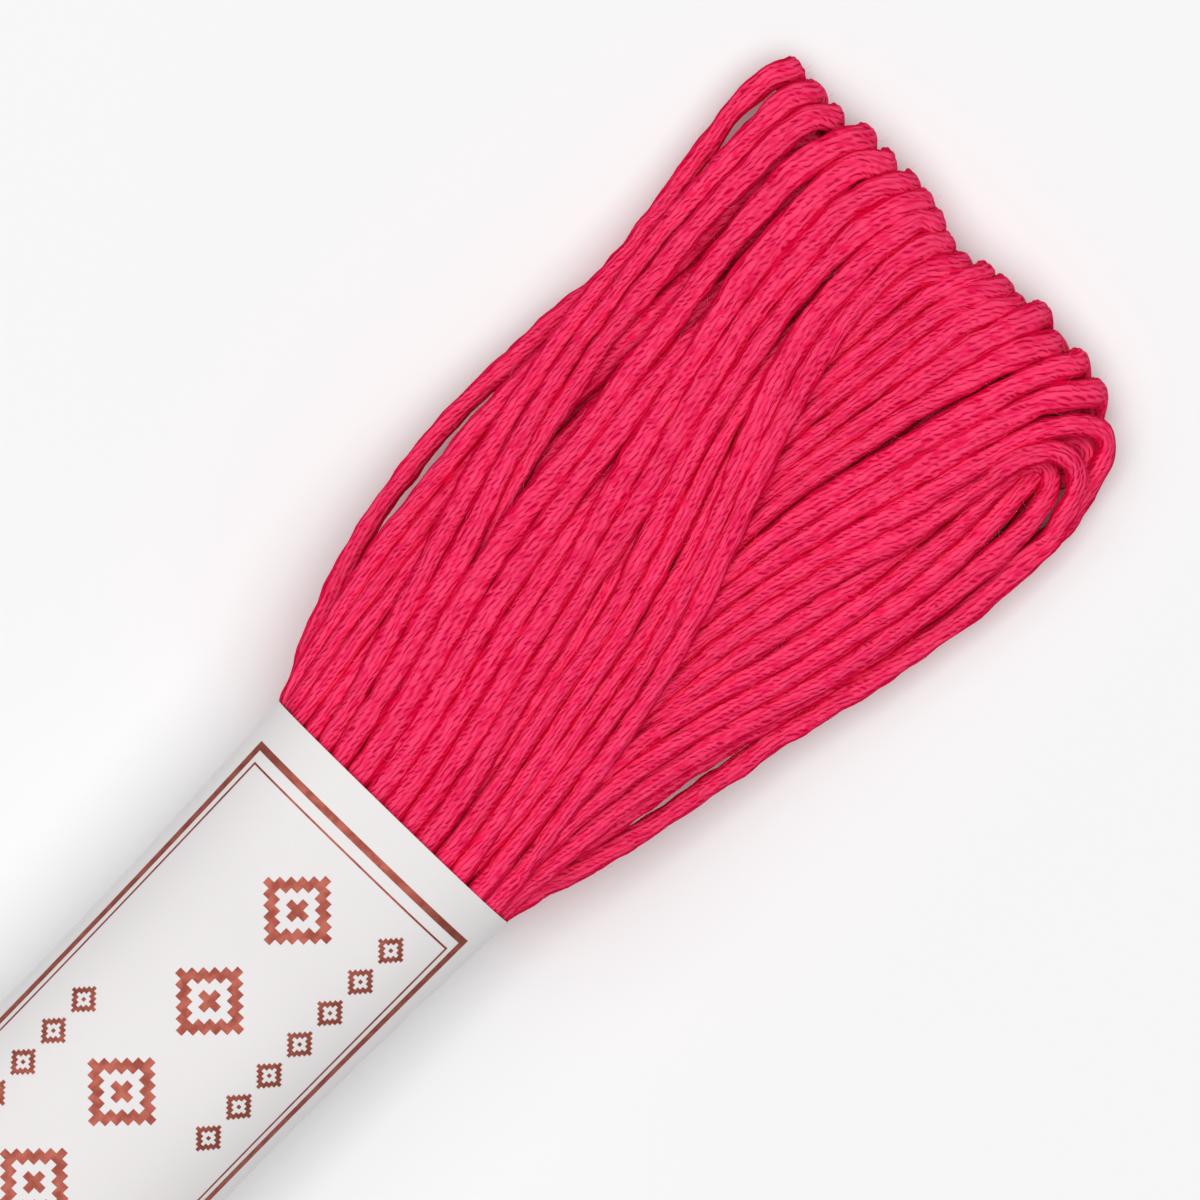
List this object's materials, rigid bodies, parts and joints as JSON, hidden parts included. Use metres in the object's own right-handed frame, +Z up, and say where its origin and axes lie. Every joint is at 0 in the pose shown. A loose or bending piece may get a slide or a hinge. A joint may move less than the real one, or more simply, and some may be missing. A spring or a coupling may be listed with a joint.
{
  "type": "skein of embroidery floss",
  "caption": "Hank of soft crimson cotton embroidery floss, pulled flat and held at its waist by a printed paper band, its loops spread into a fan at one end.",
  "frame": {"origin": "on the surface that the skein lies on, under the middle of the paper band", "axes": "+X along the skein towards the spread end of its loops, +Y to the left across the skein, +Z up"},
  "size_m": [0.1438, 0.0342, 0.0122],
  "materials": {
    "floss": "matte twisted cotton",
    "band_paper": "satin coated paper with copper print"
  },
  "bodies": {
    "root": {"floss_skein": "floss", "paper_band": "band_paper"}
  },
  "joints": []
}
